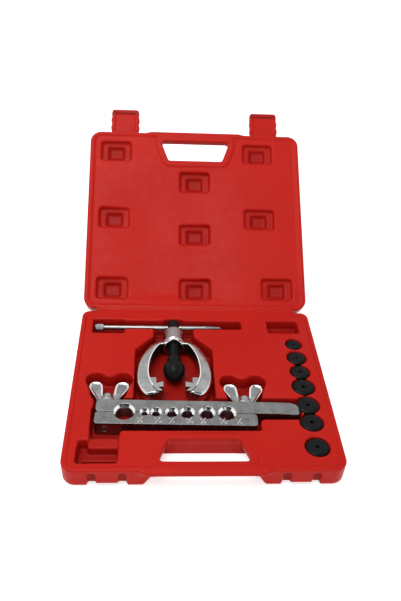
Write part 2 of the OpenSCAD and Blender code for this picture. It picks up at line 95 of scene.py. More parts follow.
def lid_place(p):
    """The same for the opened lid."""
    x, h, n = p.T
    return np.stack([x, hinge.y + h * COS + n * SIN, BASE_H + h * SIN - n * COS], 1) * MM


def row_place(p):
    return p * MM


# ---- Distance fields --------------------------------------------------------
# A shape is a function of x, y, z that is negative inside and grows with the
# distance outside, so shapes can be joined and cut with rounded edges.


def join(a, b, r=0.0):
    """Union, with a fillet of radius r in the corner between the two."""
    if r == 0:
        return np.minimum(a, b)
    return np.maximum(np.minimum(a, b), r) - np.hypot(np.maximum(r - a, 0), np.maximum(r - b, 0))


def meet(a, b, r=0.0):
    """Intersection, with its edge rounded to radius r."""
    return -join(-a, -b, r)


def cut(a, b, r=0.0):
    """a without b, with the cut's edge rounded to radius r."""
    return meet(a, -b, r)


def rect(x, y, lo, hi, r=0.0):
    """Signed distance to a rectangle with corners of radius r."""
    qx = np.abs(x - (lo[0] + hi[0]) / 2) - (hi[0] - lo[0]) / 2 + r
    qy = np.abs(y - (lo[1] + hi[1]) / 2) - (hi[1] - lo[1]) / 2 + r
    return np.hypot(np.maximum(qx, 0), np.maximum(qy, 0)) + np.minimum(np.maximum(qx, qy), 0) - r


def disc(x, y, c, r):
    return np.hypot(x - c[0], y - c[1]) - r


def outline(x, y, points, r=0.0):
    """Signed distance to a polygon whose outer corners are rounded to radius r."""
    x, y = np.broadcast_arrays(x, y)
    pts = inset(points, r) if r else points
    best = np.full(x.shape, 1e18)
    inside = np.zeros(x.shape, bool)
    for (ax, ay), (bx, by) in zip(pts, pts[1:] + pts[:1]):
        ex, ey = bx - ax, by - ay
        t = np.clip(((x - ax) * ex + (y - ay) * ey) / (ex * ex + ey * ey), 0, 1)
        best = np.minimum(best, (x - ax - t * ex) ** 2 + (y - ay - t * ey) ** 2)
        if ay != by:
            inside ^= ((ay > y) != (by > y)) & (x < ex * (y - ay) / ey + ax)
    return np.where(inside, -1, 1) * np.sqrt(best) - r


def inset(points, r):
    """A polygon's corners, moved inwards by r."""
    area = sum(a[0] * b[1] - b[0] * a[1] for a, b in zip(points, points[1:] + points[:1]))
    side = 1 if area > 0 else -1
    out = []
    for i, p in enumerate(points):
        a, b = Vector(points[i - 1]), Vector(points[(i + 1) % len(points)])
        p = Vector(p)
        u, v = (p - a).normalized(), (b - p).normalized()
        nu, nv = Vector((-u.y, u.x)) * side, Vector((-v.y, v.x)) * side
        m = (nu + nv) / max(1 + nu.dot(nv), 0.2)
        out.append(tuple(p + m * r))
    return out


def slab(z, lo, hi):
    return np.maximum(lo - z, z - hi)


def pocket(d, n, floor, draft=0.07, r=2.0):
    """A pocket sunk to a floor: d is its plan's distance at the top."""
    return meet(d + np.maximum(n, 0) * draft, n - floor, r)


# ---- Meshing ----------------------------------------------------------------


def edge_crossings(v, spots):
    """Surface points of the cells of a grid, one for each cell that the surface passes."""
    nx, ny, nz = v.shape
    inside = v < 0
    corners = [(i, j, k) for i in (0, 1) for j in (0, 1) for k in (0, 1)]
    part = lambda a, c: a[c[0]: nx - 1 + c[0], c[1]: ny - 1 + c[1], c[2]: nz - 1 + c[2]]
    count = sum(part(inside, c).astype(np.int8) for c in corners)
    cells = np.argwhere((count > 0) & (count < 8))
    total, hits = np.zeros((len(cells), 3)), np.zeros(len(cells))
    at = lambda c: tuple((cells + np.array(c)).T)
    place = lambda c: np.stack([s[i] for s, i in zip(spots, at(c))], 1)
    for a in corners:
        for axis in range(3):
            if a[axis]:
                continue
            b = tuple(1 if k == axis else a[k] for k in range(3))
            va, vb = v[at(a)], v[at(b)]
            hit = (va < 0) != (vb < 0)
            t = np.where(hit, va / np.where(hit, va - vb, 1), 0)[:, None]
            total += np.where(hit[:, None], place(a) * (1 - t) + place(b) * t, 0)
            hits += hit
    return cells, total / hits[:, None]


def grid_faces(v, cells):
    """Quads between the cells' points, wound to face outwards."""
    index = np.full(v.shape, -1, np.int64)
    index[tuple(cells.T)] = np.arange(len(cells))
    quads = []
    for axis in range(3):
        a, b = (axis + 1) % 3, (axis + 2) % 3
        lo, hi = np.moveaxis(v < 0, axis, 0)[:-1], np.moveaxis(v < 0, axis, 0)[1:]
        e = np.argwhere(lo != hi)
        order = [axis] + [k for k in range(3) if k != axis]
        p = np.zeros_like(e)
        p[:, order] = e
        p = p[(p[:, a] > 0) & (p[:, b] > 0)]
        out = (v < 0)[tuple(p.T)]
        unit = np.eye(3, dtype=int)
        step = lambda da, db: index[tuple((p - unit[a] * da - unit[b] * db).T)]
        q = np.stack([step(1, 1), step(0, 1), step(0, 0), step(1, 0)], 1)
        q[~out] = q[~out][:, ::-1]
        quads.append(q[(q >= 0).all(1)])
    return np.concatenate(quads)


def gradient(field, p, e=0.03):
    x, y, z = p.T
    return np.stack([
        field(x + e, y, z) - field(x - e, y, z),
        field(x, y + e, z) - field(x, y - e, z),
        field(x, y, z + e) - field(x, y, z - e),
    ], 1) / (2 * e)


def settle(field, p, rounds=2, most=0.5):
    """Moves points onto the field's surface."""
    for _ in range(rounds):
        g = gradient(field, p)
        d = field(*p.T) / np.maximum((g * g).sum(1), 0.2)
        p = p - np.clip(d, -most, most)[:, None] * g
    return p


def mesh_of(name, field, lo, hi, step, place=row_place, flip=False, keep=1.0, zone=None):
    """A mesh object of a field inside a box, with normals taken from the field itself.

    zone(x, y, z) gives a share from -1 to 1 that materials read as the attribute zone."""
    step = (step,) * 3 if np.isscalar(step) else step
    scale = 1.0
    spots = [np.linspace(a, b, max(3, int((b - a) / (s * scale)) + 1)) for a, b, s in zip(lo, hi, step)]
    x, y, z = spots[0][:, None, None], spots[1][None, :, None], spots[2][None, None, :]
    v = np.ascontiguousarray(np.broadcast_to(field(x, y, z), [len(s) for s in spots]))
    cells, p = edge_crossings(v, spots)
    quads = grid_faces(v, cells)
    p = settle(field, p)
    mesh = new_mesh(name, p, quads)
    if keep < 1:
        p, faces = thinned(mesh, keep)
        p = settle(field, p, 1)
    else:
        faces = quads
    g = gradient(field, p)
    g /= np.maximum(np.linalg.norm(g, axis=1, keepdims=True), 1e-6)
    tips = place(p + g) - place(p)
    mesh = new_mesh(name, place(p), faces[:, ::-1] if flip else faces)
    mesh.normals_split_custom_set_from_vertices((tips / np.linalg.norm(tips, axis=1, keepdims=True)).tolist())
    if zone:
        share = mesh.attributes.new("zone", "FLOAT", "POINT")
        share.data.foreach_set("value", np.clip(zone(*p.T), -1, 1).astype(np.float32))
    return piece(name, mesh)


def thinned(mesh, keep):
    """A mesh's points and triangles after flat stretches lose most of theirs."""
    o = bpy.data.objects.new("thin", mesh)
    bpy.context.scene.collection.objects.link(o)
    m = o.modifiers.new("thin", "DECIMATE")
    m.ratio = keep
    m.use_collapse_triangulate = True
    out = o.evaluated_get(bpy.context.evaluated_depsgraph_get()).to_mesh()
    p = np.zeros(len(out.vertices) * 3)
    out.vertices.foreach_get("co", p)
    t = np.zeros(len(out.loops), np.int64)
    out.loops.foreach_get("vertex_index", t)
    o.to_mesh_clear()
    bpy.data.objects.remove(o)
    return p.reshape(-1, 3), t.reshape(-1, 3)


def new_mesh(name, points, faces):
    points, faces = np.asarray(points, np.float32), np.asarray(faces, np.int32)
    mesh = bpy.data.meshes.new(name)
    mesh.vertices.add(len(points))
    mesh.vertices.foreach_set("co", points.ravel())
    mesh.loops.add(faces.size)
    mesh.loops.foreach_set("vertex_index", faces.ravel())
    mesh.polygons.add(len(faces))
    mesh.polygons.foreach_set("loop_start", np.arange(0, faces.size, faces.shape[1], dtype=np.int32))
    mesh.polygons.foreach_set("use_smooth", np.ones(len(faces), bool))
    mesh.update()
    mesh.validate()
    return mesh


def piece(name, mesh):
    o = bpy.data.objects.new(name, mesh)
    bpy.context.scene.collection.objects.link(o)
    return o


def stand_in(o, body, nodes, material):
    """Puts a finished piece in the place of CAD nodes, on a body, with its finish."""
    o.data.materials.clear()
    o.data.materials.append(material)
    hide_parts(*nodes)
    if body:
        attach(o, body)
    return o


# ---- Case -------------------------------------------------------------------

GRIP_W, GRIP_D, GRIP_N = 118.0, 10.7, 6.5
HOLE_D = 26.0
HOLE = [
    (-42, CASE_D - GRIP_D), (42, CASE_D - GRIP_D), (32.6, CASE_D - GRIP_D - HOLE_D),
    (-32.6, CASE_D - GRIP_D - HOLE_D),
]
TRAY_STEP, LID_RECESS, LID_DISH, LID_GRIP_N = 0.8, 1.6, 7.0, 9.6
LANDING_W, CHANNEL_W, CHANNEL_D, FOOT_LIFT = 19.6, 7.6, 3.6, 4.4
LATCH_W, LATCH_L = 34.6, 34.2


def half_plan(x, h, back_r):
    r = np.where(h < CASE_D / 2, back_r, CORNER_R)
    return rect(x, h, (-CASE_W / 2, GAP), (CASE_W / 2, CASE_D), r)


def half_block(x, h, n, depth, back_r):
    """One half of the case, still solid: soft at the rim, rounder at its outer face."""
    plan = half_plan(x, h, back_r) + 0.03 * n
    return meet(meet(plan, RIM_GAP - n, 1.8), n - depth, 4.5)


def grip_bar(x, h, n, bump, thick):
    top = CASE_D + bump
    plan = outline(x, h, [
        (-GRIP_W / 2, CASE_D - 7), (GRIP_W / 2, CASE_D - 7), (GRIP_W / 2, CASE_D),
        (GRIP_W / 2 - 5, top), (-GRIP_W / 2 + 5, top), (-GRIP_W / 2, CASE_D),
    ])
    return meet(meet(plan, RIM_GAP - n, 2.0), n - thick, 2.2)


def under_grip(x, h, n, start):
    """The space under the grip, between walls that sweep outwards."""
    wide = np.abs(x) - 45.5 - 0.6 * (n - start)
    return meet(meet(wide, CASE_D - GRIP_D - HOLE_D - h, 4), start - n, 2.0)


def panel_plan(x, h, border=6.4):
    hole = outline(x, h, HOLE, 3.5)
    plan = meet(rect(x, h, (-CASE_W / 2 + RIM_W, GAP + RIM_W), (CASE_W / 2 - RIM_W, CASE_D - 4.2), 8),
                border + 0.0 * h - hole, 5)
    return cut(plan, rect(x, h, (-44, CASE_D - GRIP_D - 4), (44, CASE_D + 9)), 5)


def hand_hole(x, h, n):
    return outline(x, h, HOLE, 3.5) + 0 * n


def adapter_wells():
    """Centre, radius and adapter name of each round well."""
    for node in sorted(k for k in frame["nodes"] if k.startswith("adapter_")):
        lo, hi = box_mm(node)
        yield node, ((lo[0] + hi[0]) / 2, hinge.y - (lo[1] + hi[1]) / 2), (hi[0] - lo[0]) / 2


def tray_pockets(x, h, n):
    """Every pocket of the tray, as one void."""
    yoke_lo, yoke_hi = box_mm("yoke")
    mid = (yoke_lo[0] + yoke_hi[0]) / 2
    half = (yoke_hi[0] - yoke_lo[0]) / 2 + 1.5
    slot = join(rect(x, h, (-114.5, 15.2), (-79.3, 39), 2.5), rect(x, h, (-85, 17), (49.5, 31.6), 2.5), 1.5)
    slot = join(slot, rect(x, h, (mid - 10.6, 14.6), (mid + 10.6, 25), 2.5), 1)
    void = pocket(slot, n, 14)
    yoke = outline(x, h, [
        (mid - 21.8, 30), (mid + 21.8, 30), (mid + 21.8, 44), (mid + half, 65),
        (mid + half, 143), (mid - half, 143), (mid - half, 65), (mid - 21.8, 44),
    ], 2)
    void = join(void, pocket(yoke, n, 16.3), 1.5)
    bar = join(rect(x, h, (-104.2, 137), (55, 179), 2.5), rect(x, h, (40, 137), (96, 165), 2.5), 5)
    bar = join(bar, rect(x, h, (-104.2, 150), (-77.5, 186), 2.5), 4)
    void = join(void, pocket(bar, n, 14.7), 1.5)
    for nut in ("wing_nut_left", "wing_nut_right"):
        void = join(void, pocket(wing_plan(x, h, nut), n, 15.1), 1.5)
    void = join(void, pocket(rect(x, h, (78.5, 16), (113.2, 37.4), 3), n, 13), 1.5)
    void = join(void, spare_pocket(x, h, n), 1.5)
    wells = 99.0
    for _, c, r in adapter_wells():
        wells = join(wells, disc(x, h, c, r + 1.3), 2.5)
    return join(void, pocket(wells, n, 13.4, 0.1, 1.2), 1)


def wing_plan(x, h, nut):
    lo, hi = box_mm(nut)
    mid, tip = (lo[0] + hi[0]) / 2, hinge.y - hi[1]
    lobes = join(disc(x, h, (mid - 13.6, tip + 0.6), 9.9), disc(x, h, (mid + 13.6, tip + 0.6), 9.9))
    funnel = outline(x, h, [
        (mid - 23.0, tip + 1), (mid + 23.0, tip + 1), (mid + 17, tip + 23),
        (mid + 12, tip + 31), (mid - 12, tip + 31), (mid - 17, tip + 23),
    ], 2)
    neck = rect(x, h, (mid - 9, tip - 4), (mid + 9, tip + 9), 3)
    return join(join(lobes, funnel, 1), neck, 3)


def spare_pocket(x, h, n):
    """Front left: a ledge beside a deeper pocket with a ridge across its floor."""
    ledge = pocket(rect(x, h, (-105, 180), (-77.5, 200), 2), n, 4.5, 0.1)
    deep = join(rect(x, h, (-114.5, 197), (-77.5, 216.5), 3), rect(x, h, (-114.5, 190), (-105, 216.5), 3), 2)
    void = join(ledge, pocket(deep, n, 13), 1.5)
    ridge = meet(rect(x, h, (-109, 206.6), (-78, 209.4), 1.2), 8.5 - n, 1)
    return cut(void, ridge, 1)


def tray_painted_shade(x, h, n):
    """How far down in a pocket of the tray, or in a channel at the front, a place lies, for the painted shade
    that darkens the red plastic there.
    """
    inside = (rect(x, h, (-117, 10), (117, CASE_D - 5)) < 0) & (np.abs(outline(x, h, HOLE, 3.5)) > 3)
    deep = inside * (1 - np.exp(-np.maximum(n - 1.2, 0) / 7))
    side = np.abs(np.abs(x) - LATCH_X)
    channel = np.abs(side - LANDING_W / 2 - CHANNEL_W / 2) < CHANNEL_W / 2 - 0.6
    low = channel & (h > CASE_D - 8) & (h < CASE_D - CHANNEL_D + 0.9) & (n > 5.6)
    return np.where(low, 1.0, 0.92 * deep * (n < BASE_H - 4))


def lid_painted_shade(x, h, n):
    """How far down in a pocket of the lid a place lies, for the painted shade that darkens the red plastic
    there.
    """
    near = 9.0
    for cx, ch in LID_POCKETS:
        near = np.minimum(near, rect(x, h, (cx - 18, ch - 12.8), (cx + 18, ch + 12.8), 4))
    deep = np.maximum(n - LID_RECESS - dish(x, h) - 0.8, 0) * (n < LID_H - 1.5)
    return (near < 1) * (1 - np.exp(-deep / 7)) * 0.9


def front_relief(x, h, n):
    """Channels beside the two latch landings, and the lifted edge between the feet."""
    side = np.abs(x) - LATCH_X
    near = np.abs(np.abs(side) - LANDING_W / 2 - CHANNEL_W / 2) - CHANNEL_W / 2
    channels = meet(meet(near, CASE_D - CHANNEL_D - h + 0.06 * (n - 8), 1.8), 5.2 - n, 3)
    lift = meet(np.abs(side) - LANDING_W / 2 - CHANNEL_W, BASE_H - FOOT_LIFT - n, 1.5)
    return join(channels, meet(lift, CASE_D - 30 - h), 1)


def base_field(x, h, n):
    solid = half_block(x, h, n, BASE_H, 9)
    solid = join(solid, grip_bar(x, h, n, BUMP, GRIP_N), 1.5)
    solid = cut(solid, pocket(panel_plan(x, h), n, TRAY_STEP, 0.3, 0.4), 0.5)
    solid = cut(solid, under_grip(x, h, n, GRIP_N), 2.2)
    solid = cut(solid, front_relief(x, h, n), 1.6)
    solid = cut(solid, tray_pockets(x, h, n), 1.9)
    solid = cut(solid, hand_hole(x, h, n), 1.4)
    pin_mark = np.hypot(np.hypot(x - 61.2, h - 209.1), n - TRAY_STEP) - 1.0
    return cut(solid, pin_mark, 0.3)


def dish(x, h):
    """Extra depth of the lid's dished panel, which clears the closed yoke."""
    lo, hi = box_mm("yoke")
    mid = (lo[0] + hi[0]) / 2
    run = [(x - mid + 88) / 72, (mid + 88 - x) / 72, (h - 7) / 17, (190 - h) / 68]
    share = 1 - sum(np.clip(1 - t, 0, 1) ** 3 for t in run) ** (1 / 3)
    share = np.clip(share, 0, 1)
    return (LID_DISH - LID_RECESS) * share * share * (3 - 2 * share)


LID_POCKETS = [
    (-95.9, 200.8), (76.5, 200.8), (-0.8, 162), (-95.9, 114), (76.5, 114), (-0.8, 95),
    (-95.9, 26.8), (-0.8, 26.8), (94.5, 26.8),
]


def lid_field(x, h, n):
    solid = half_block(x, h, n, LID_H, CORNER_R)
    solid = join(solid, grip_bar(x, h, n, 1.8, LID_GRIP_N), 1.5)
    floor = LID_RECESS + dish(x, h)
    inside = meet(panel_plan(x, h, 7.2) + 0.5 * n, n - floor, 1.6)
    solid = cut(solid, inside, 1.4)
    solid = cut(solid, under_grip(x, h, n, LID_GRIP_N), 2.2)
    void = 99.0
    for cx, ch in LID_POCKETS:
        m = n - LID_RECESS - dish(cx, ch)
        ledge = pocket(rect(x, h, (cx - 18, ch - 12.8), (cx + 18, ch + 12.8), 4), m, 5, 0.16, 2.2)
        deep = pocket(rect(x, h, (cx - 11, ch - 10.4), (cx + 11, ch + 8.6), 3.5), m, 9.4, 0.3, 2.5)
        void = join(void, join(ledge, deep, 2.5))
    solid = cut(solid, void, 2.4)
    solid = cut(solid, hand_hole(x, h, n), 1.8)
    for side in (-1, 1):
        for edge in (-1, 1):
            middle = side * LATCH_X + edge * (LATCH_W / 2 + 1.2)
            ear = meet(np.hypot(h - PIN_H, n - PIN_N) - 2.9, np.abs(x - middle) - 0.8, 0.5)
            solid = join(solid, ear, 0.8)
    return solid


def hinge_web():
    """The living hinge, flush with both rims, folded once between the base and the opened lid."""
    half = (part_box("hinge_strap")[1].x / MM)
    top = [(1.0, 0.1), (2.4, 0.03), (4.5, 0.04), (6.5, 0.35)]
    under = [(6.5, 1.6), (4.5, 2.2), (2.4, 2.3), (1.2, 1.7)]
    mirrored = lambda side: [(-along, n) for along, n in side[::-1]]
    ring = mirrored(top) + [(0, 0.22)] + top + under + [(0, 1.35)] + mirrored(under)
    rows = 160
    points = []
    for i in range(rows + 1):
        t = -1 + 2 * i / rows
        x = half * t
        ends = min(1.0, (1 - abs(t)) * half / 2.2)
        squeeze = 0.35 + 0.65 * math.sqrt(1 - (1 - ends) ** 2)
        for along, n in ring:
            n = 1.2 + (n - 1.2) * squeeze
            h = abs(along)
            p = lid_place(np.array([[x, h, n]])) if along > 0 else base_place(np.array([[x, h, n]]))
            if along == 0:
                p = (lid_place(np.array([[x, 0, n]])) + base_place(np.array([[x, 0, n]]))) / 2
            points.append(p[0])
    k = len(ring)
    faces = [[i * k + j, i * k + (j + 1) % k, (i + 1) * k + (j + 1) % k, (i + 1) * k + j]
             for i in range(rows) for j in range(k)]
    return piece("hinge_web", new_mesh("hinge_web", points, faces))


def make_case(red):
    lo, hi = (-CASE_W / 2 - 1.5, GAP - 2, -1.6), (CASE_W / 2 + 1.5, CASE_D + BUMP + 1.5, BASE_H + 1.6)
    tray = mesh_of("tray_shell", base_field, lo, hi, (1.0, 1.0, 0.8), base_place, keep=0.42, zone=tray_painted_shade)
    stand_in(tray, "base", ["case_base"], red)
    hi = (hi[0], CASE_D + 7, LID_H + 1.6)
    lid = mesh_of("lid_shell", lid_field, lo, hi, (1.0, 1.0, 0.8), lid_place,
                  flip=True, keep=0.42, zone=lid_painted_shade)
    stand_in(lid, "lid", ["case_lid"], red)
    web = hinge_web()
    stand_in(web, None, ["hinge_strap"], red)
    at = lambda p: tuple(p(np.array([[0, 1.4, 0.5]]))[0])
    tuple(at(base_place))
    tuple(at(lid_place))
    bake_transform(web)


# ---- Materials --------------------------------------------------------------


class Nodes:
    """A small helper for wiring a procedural material."""

    def __init__(self, name, color, rough, metal=0.0, spec=0.5):
        self.material = bpy.data.materials.new(name)
        self.material.use_nodes = True
        self.tree = self.material.node_tree
        self.shader = self.tree.nodes["Principled BSDF"]
        self.shader.inputs["Base Color"].default_value = (*color, 1)
        self.shader.inputs["Roughness"].default_value = rough
        self.shader.inputs["Metallic"].default_value = metal
        self.shader.inputs["Specular IOR Level"].default_value = spec
        self.place = self.add("ShaderNodeTexCoord").outputs["Object"]

    def add(self, kind, **values):
        node = self.tree.nodes.new(kind)
        for key, value in values.items():
            if key in node.inputs:
                node.inputs[key].default_value = value
            else:
                setattr(node, key, value)
        return node

    def link(self, a, b):
        self.tree.links.new(a, b)

    def scaled(self, scale, rotation=(0, 0, 0)):
        m = self.add("ShaderNodeMapping")
        m.inputs["Scale"].default_value = scale
        m.inputs["Rotation"].default_value = rotation
        self.link(self.place, m.inputs["Vector"])
        return m.outputs["Vector"]

    def zone(self):
        """The share that a piece's mesh carries for its special places."""
        return self.add("ShaderNodeAttribute", attribute_name="zone").outputs["Fac"]

    def noise(self, scale, detail=3.0, rough=0.55, at=None):
        n = self.add("ShaderNodeTexNoise", Scale=scale, Detail=detail, Roughness=rough)
        self.link(at or self.place, n.inputs["Vector"])
        return n.outputs["Fac"]

    def ramp(self, value, low, high, start=0.0, end=1.0):
        m = self.add("ShaderNodeMapRange")
        self.link(value, m.inputs["Value"])
        for key, x in (("From Min", start), ("From Max", end), ("To Min", low), ("To Max", high)):
            m.inputs[key].default_value = x
        return m.outputs["Result"]

    def mix(self, factor, a, b):
        m = self.add("ShaderNodeMix", data_type="RGBA")
        for socket, value in ((m.inputs[0], factor), (m.inputs[6], a), (m.inputs[7], b)):
            if isinstance(value, bpy.types.NodeSocket):
                self.link(value, socket)
            else:
                socket.default_value = value if np.isscalar(value) else (*value, 1)
        return m.outputs[2]

    def bump(self, height, strength, distance, below=None):
        b = self.add("ShaderNodeBump", Strength=strength, Distance=distance)
        self.link(height, b.inputs["Height"])
        if below:
            self.link(below, b.inputs["Normal"])
        return b.outputs["Normal"]

    def set(self, name, value):
        self.link(value, self.shader.inputs[name])


def red_plastic():
    """Moulded plastic, with painted shade that makes it a little duller and darker down in its pockets, in
    the front channels and under the latch lips.
    """
    m = Nodes("red_plastic", (0.5, 0.012, 0.006), 0.42, spec=0.12)
    cloud, mottle = m.noise(11, 2), m.noise(170, 4, 0.6)
    worn = m.mix(m.ramp(cloud, 0, 1, 0.35, 0.65), (0.52, 0.0125, 0.0065), (0.485, 0.0105, 0.0055))
    worn = m.mix(m.ramp(mottle, 0, 0.5, 0.45, 0.8), worn, (0.46, 0.010, 0.006))
    # painted shade: the zone attribute darkens the colour in pockets, front channels and under the latch lips
    m.set("Base Color", m.mix(m.ramp(m.zone(), 0, 0.72), worn, (0.19, 0.0033, 0.0024)))
    m.set("Roughness", m.ramp(m.noise(120, 4), 0.36, 0.5, 0.35, 0.65))
    sag = m.bump(m.noise(40, 2), 0.2, 0.0005)
    m.set("Normal", m.bump(m.noise(900, 2), 0.25, 0.00012, sag))
    return m.material


# ---- Stage ------------------------------------------------------------------


def camera():
    """A view from the front and above, turned a little to the right of straight on."""
    cam = bpy.data.objects.new("camera", bpy.data.cameras.new("camera"))
    bpy.context.scene.collection.objects.link(cam)
    bpy.context.scene.camera = cam
    cam.data.lens, cam.data.sensor_width = 40.07, 36
    forward = Vector((0.06561, 0.79584, -0.60194)).normalized()
    target = Vector((6.05, 23.8, 22.5)) * MM
    roll = Matrix.Rotation(math.radians(3.57), 4, "Z")
    cam.matrix_world = (
        Matrix.Translation(target - forward * 779 * MM)
        @ forward.to_track_quat("-Z", "Y").to_matrix().to_4x4()
        @ roll
    )
    cam.data.clip_start, cam.data.clip_end = 0.02, 20


def backdrop():
    """A white floor that keeps the object's shadow, and a white surround for the camera and for metal."""
    corners = [(-6, -6, 0), (6, -6, 0), (6, 6, 0), (-6, 6, 0)]
    floor = piece("floor", new_mesh("floor", corners, [[0, 1, 2, 3]]))
    m = Nodes("floor", (0.9, 0.9, 0.9), 0.9, spec=0.1)
    paths = m.add("ShaderNodeLightPath")
    seen = m.add("ShaderNodeMath", operation="MAXIMUM")
    m.link(paths.outputs["Is Camera Ray"], seen.inputs[0])
    m.link(paths.outputs["Is Glossy Ray"], seen.inputs[1])
    glow = m.add("ShaderNodeEmission", Strength=0.62)
    share = m.add("ShaderNodeMixShader")
    both = m.add("ShaderNodeAddShader")
    m.link(m.shader.outputs[0], both.inputs[0])
    m.link(glow.outputs[0], both.inputs[1])
    m.link(seen.outputs[0], share.inputs[0])
    m.link(m.shader.outputs[0], share.inputs[1])
    m.link(both.outputs[0], share.inputs[2])
    m.link(share.outputs[0], m.tree.nodes["Material Output"].inputs["Surface"])
    floor.data.materials.append(m.material)

    world = bpy.data.worlds.new("world")
    bpy.context.scene.world = world
    world.use_nodes = True
    tree = world.node_tree
    back = tree.nodes["Background"]
    back.inputs["Color"].default_value = (1, 1, 1, 1)
    path = tree.nodes.new("ShaderNodeLightPath")
    seen = tree.nodes.new("ShaderNodeMath")
    seen.operation = "MAXIMUM"
    tree.links.new(path.outputs["Is Camera Ray"], seen.inputs[0])
    tree.links.new(path.outputs["Is Glossy Ray"], seen.inputs[1])
    toward = tree.nodes.new("ShaderNodeTexCoord")
    facing = tree.nodes.new("ShaderNodeVectorMath")
    facing.operation = "DOT_PRODUCT"
    facing.inputs[1].default_value = Vector((0, -0.62, 0.78))
    tree.links.new(toward.outputs["Generated"], facing.inputs[0])
    room = tree.nodes.new("ShaderNodeMapRange")
    room.interpolation_type = "SMOOTHSTEP"
    for key, x in (("From Min", 0.62), ("From Max", 0.84), ("To Min", 1.0), ("To Max", 0.04)):
        room.inputs[key].default_value = x
    tree.links.new(facing.outputs["Value"], room.inputs["Value"])
    shown = tree.nodes.new("ShaderNodeMath")
    shown.operation = "MAXIMUM"
    tree.links.new(path.outputs["Is Camera Ray"], shown.inputs[0])
    tree.links.new(room.outputs["Result"], shown.inputs[1])
    level = tree.nodes.new("ShaderNodeMapRange")
    level.inputs["To Min"].default_value = 0.38
    tree.links.new(seen.outputs[0], level.inputs["Value"])
    tree.links.new(shown.outputs[0], level.inputs["To Max"])
    tree.links.new(level.outputs[0], back.inputs["Strength"])


def lamp(name, place, target, size, power):
    data = bpy.data.lights.new(name, "AREA")
    data.shape, data.size, data.size_y, data.energy = "RECTANGLE", size[0], size[1], power
    o = bpy.data.objects.new(name, data)
    bpy.context.scene.collection.objects.link(o)
    o.location = place
    o.rotation_euler = (Vector(target) - Vector(place)).to_track_quat("-Z", "Y").to_euler()


# ---- Latches ----------------------------------------------------------------


def latch_field(x, h, n):
    """One latch, swung open: a plate with raised wavy sides and a hooked lip."""
    u, v = np.abs(x), h - PIN_H
    tip = LATCH_L
    half = LATCH_W / 2 - 0.45 + 0.45 * np.cos(v * 0.62) - 0.9 * np.clip((v - tip + 7) / 3, 0, 1)
    plan = meet(meet(u - half, v - tip, 1.8), 1.2 - v, 0.5)
    plate = meet(plan, np.abs(n - 12.4) - 1.3, 0.8)
    back = meet(meet(meet(plan, -plan - 3.1, 0.8), v - tip + 3.2), slab(n, 11.2, 17.6), 0.9)
    front = meet(meet(plan, -plan - 4.4, 1.2), np.maximum(10.0 - n, meet(n - 12, 5.5 - v)), 0.9)
    rim = join(cut(back, v - 4, 1.0), meet(front, 5.5 - v, 1.5), 0.5)
    lip = meet(meet(plan, tip - 6.2 - v, 1.2), slab(n, 9.2 - 0.2 * (v - tip), 16.0), 1.2)
    boss = meet(np.hypot(v, n - PIN_N) - 1.95, u - LATCH_W / 2, 0.4)
    solid = join(join(plate, rim, 1.2), join(lip, boss, 1.2), 1.0)
    pin = meet(np.hypot(v, n - PIN_N) - 1.3, u - LATCH_W / 2 - 1.5, 0.2)
    return join(solid, pin, 0.2)


def latch_painted_shade(x, h, n):
    """The lip's underside and the corners beside it, where less light falls."""
    v = h - PIN_H - LATCH_L
    return np.clip(1.1 - np.abs(v + 4.4) / 3.6, 0, 1) * (n < 10.9)


def make_latches(red):
    for name, body, side in (("latch_left", "latch_l", -1), ("latch_right", "latch_r", 1)):
        field = lambda x, h, n, c=side * LATCH_X: latch_field(x - c, h, n)
        lo = (side * LATCH_X - LATCH_W / 2 - 3, PIN_H - 4, 7.5)
        hi = (side * LATCH_X + LATCH_W / 2 + 3, PIN_H + LATCH_L + 1.2, 19)
        o = mesh_of(name + "_shell", field, lo, hi, 0.5, lid_place, flip=True, keep=0.5, zone=latch_painted_shade)
        stand_in(o, body, [name], red)


# ---- Yoke, screw and handle -------------------------------------------------

yoke_lo, yoke_hi = box_mm("yoke")
SCREW_X = (yoke_lo[0] + yoke_hi[0]) / 2
SCREW_Z = (yoke_lo[2] + yoke_hi[2]) / 2
HALF_YOKE = (yoke_hi[0] - yoke_lo[0]) / 2
YOKE_END = hinge.y - yoke_lo[1]
# The arms' widest level along the yoke, and the half lengths of the two ellipses that meet there
ARM_H, ARM_BACK = 103.0, 58.0
ARM_FRONT = YOKE_END - ARM_H + 9.6
# The same for the mouth between the arms, with its half width
MOUTH_H, MOUTH_A, MOUTH_BACK, MOUTH_FRONT = 100.0, 25.9, 48.0, 36.0


def ellipse(x, y, a, b):
    """Roughly the distance to an ellipse about the origin."""
    k = np.hypot(x / a, y / b) + 1e-6
    return (k - 1) / np.maximum(np.hypot(x / a ** 2, y / b ** 2) / k, 0.004)


def yoke_outer(u, h):
    """The outer edge of the arms, a little fuller than an ellipse towards the claws."""
    b = np.where(h < ARM_H, ARM_BACK, ARM_FRONT)
    e = np.where(h < ARM_H, 2.0, 2.25)
    a, v = HALF_YOKE - 0.3, np.abs(h - ARM_H)
    k = ((u / a) ** e + (v / b) ** e) ** (1 / e) + 1e-6
    return (k - 1) / np.maximum(np.hypot(u / a ** 2, v / b ** 2) / k, 0.004)


def yoke_mouth(u, h):
    roof = np.minimum(55.5 + 0.42 * u, 60.2) - h
    return meet(ellipse(u, h - MOUTH_H, MOUTH_A, np.where(h < MOUTH_H, MOUTH_BACK, MOUTH_FRONT)), roof, 0.8)


